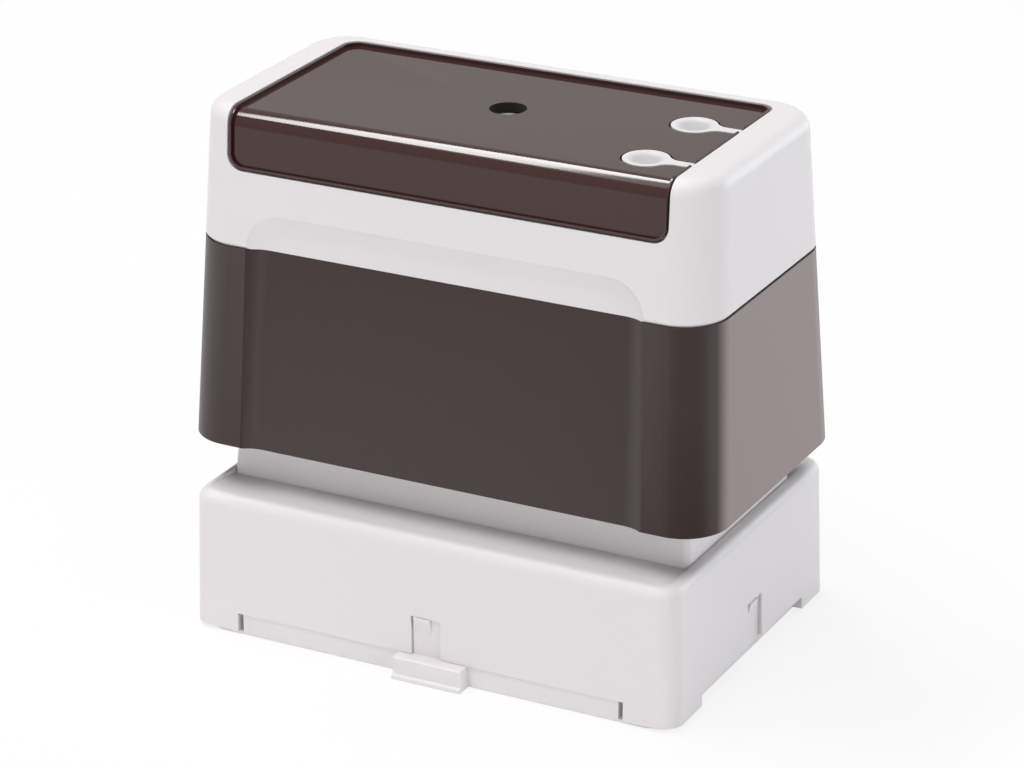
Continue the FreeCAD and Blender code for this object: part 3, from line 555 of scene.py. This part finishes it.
# Lamps: name, place, height of the point aimed at, size, power in watts, colour, shown in gloss
LAMPS = (
    ("strip", (-0.47, 0.06, 0.99), 0.06, (0.9, 0.14), 5.4, PLAIN_LIGHT, True),
    ("overhead", (0.0, -0.10, 1.20), 0.03, (1.3, 1.1), 6.3, PLAIN_LIGHT, True),
    ("front_top", (0.0, -0.55, 1.10), 0.03, (0.7, 0.4), 2.5, PLAIN_LIGHT, True),
    ("front_low", (-0.30, -1.15, 0.15), 0.03, (0.7, 0.25), 3.0, PLAIN_LIGHT, False),
    ("right_fill", (1.0, -0.35, 0.35), 0.03, (0.7, 0.6), 2.8, COOL_LIGHT, False),
    ("rear_low", (0.50, 0.90, 0.16), 0.04, (0.5, 0.3), 3.0, COOL_LIGHT, True),
)


def white_for_view(tree, plain, bright, share):
    """Mixes a share of a white shader into a plain one for camera, glossy and transmission rays."""
    path = tree.nodes.new("ShaderNodeLightPath")
    seen = math_node(tree, "MAXIMUM", path.outputs["Is Camera Ray"], path.outputs["Is Glossy Ray"])
    seen = math_node(tree, "MAXIMUM", seen, path.outputs["Is Transmission Ray"])
    mix = tree.nodes.new("ShaderNodeMixShader")
    join(tree, math_node(tree, "MULTIPLY", seen, share), mix.inputs["Fac"])
    join(tree, plain, mix.inputs[1])
    join(tree, bright, mix.inputs[2])
    return mix.outputs[0]


def make_world():
    """Even light from all round; the camera sees white walls, gloss shows them a little darker."""
    world = bpy.data.worlds.new("studio")
    bpy.context.scene.world = world
    world.use_nodes = True
    tree = world.node_tree
    plain = node_of_type(tree, "BACKGROUND")
    plain.inputs["Color"].default_value = PURE_WHITE
    plain.inputs["Strength"].default_value = WORLD_LEVEL
    bright = tree.nodes.new("ShaderNodeBackground")
    bright.inputs["Color"].default_value = PURE_WHITE
    path = tree.nodes.new("ShaderNodeLightPath")
    wall = math_node(tree, "MAXIMUM", path.outputs["Is Camera Ray"], WALL_IN_GLOSS)
    join(tree, wall, bright.inputs["Strength"])
    surface = white_for_view(tree, plain.outputs[0], bright.outputs[0], 1.0)
    join(tree, surface, node_of_type(tree, "OUTPUT_WORLD").inputs["Surface"])


def stage_sheet(name, corners, colour):
    """Flat matte sheet of the stage, with its material's tree and shader."""
    mesh = bpy.data.meshes.new(name)
    mesh.from_pydata(corners, [], [tuple(range(len(corners)))])
    sheet = bpy.data.objects.new(name, mesh)
    bpy.context.scene.collection.objects.link(sheet)
    material, tree, shader = new_material(name + "_paper")
    shader.inputs["Base Color"].default_value = colour
    shader.inputs["Roughness"].default_value = PAPER_ROUGH
    mesh.materials.append(material)
    return sheet, tree, shader


def make_floor():
    half = FLOOR_HALF
    corners = [(-half, -half, 0), (half, -half, 0), (half, half, 0), (-half, half, 0)]
    floor, tree, shader = stage_sheet("floor", corners, FLOOR_PAPER)
    bright = tree.nodes.new("ShaderNodeEmission")
    bright.inputs["Color"].default_value = PURE_WHITE
    bright.inputs["Strength"].default_value = 1.0
    surface = white_for_view(tree, shader.outputs[0], bright.outputs[0], FLOOR_GLOW)
    join(tree, surface, node_of_type(tree, "OUTPUT_MATERIAL").inputs["Surface"])


def make_flag():
    """Dark flag on the floor in front, between two bearings; only gloss shows it, as a painted
    reflection of shade on the floor there.
    """
    near, far = FLAG_REACH
    first, last = FLAG_BEARINGS
    corners = []
    for reach, bearings in ((near, (first, last)), (far, (last, (first + last) / 2, first))):
        for bearing in bearings:
            turn = math.radians(bearing)
            corners.append((reach * math.sin(turn), -reach * math.cos(turn), FLAG_HEIGHT))
    flag = stage_sheet("flag", corners, REFLECTED_SHADE_BLACK)[0]
    flag.visible_camera = False
    flag.visible_diffuse = False
    flag.visible_shadow = False
    flag.visible_transmission = False


def area_lamp(name, place, aim_height, size, power, colour, shine):
    """Rectangular lamp that looks at a point on the Z axis; shine is whether gloss shows it."""
    light = bpy.data.lights.new(name, "AREA")
    light.shape = "RECTANGLE"
    light.size, light.size_y = size
    light.energy = power
    light.color = colour
    lamp = bpy.data.objects.new(name, light)
    lamp.location = place
    ahead = Vector((0.0, 0.0, aim_height)) - Vector(place)
    lamp.rotation_euler = ahead.to_track_quat("-Z", "Y").to_euler()
    lamp.visible_glossy = shine
    bpy.context.scene.collection.objects.link(lamp)


def make_camera():
    a = math.radians(CAMERA_AZIMUTH)
    e = math.radians(CAMERA_ELEVATION)
    roll = math.radians(CAMERA_ROLL)
    back = Vector((math.sin(a) * math.cos(e), -math.cos(a) * math.cos(e), math.sin(e)))
    right = Vector((0, 0, 1)).cross(back).normalized()
    up = back.cross(right)
    side = right * math.cos(roll) + up * math.sin(roll)
    top = up * math.cos(roll) - right * math.sin(roll)
    turn = Matrix((side, top, back)).transposed()
    data = bpy.data.cameras.new("camera")
    data.sensor_fit = "HORIZONTAL"
    data.sensor_width = CAMERA_SENSOR
    data.lens = CAMERA_LENS
    data.clip_start = CAMERA_NEAR
    data.clip_end = CAMERA_FAR
    camera = bpy.data.objects.new("camera", data)
    camera.matrix_world = Matrix.Translation(CAMERA_PLACE) @ turn.to_4x4()
    bpy.context.scene.collection.objects.link(camera)
    bpy.context.scene.camera = camera


make_world()
make_floor()
make_flag()
for lamp in LAMPS:
    area_lamp(*lamp)
make_camera()
bpy.context.scene.view_settings.view_transform = "Standard"
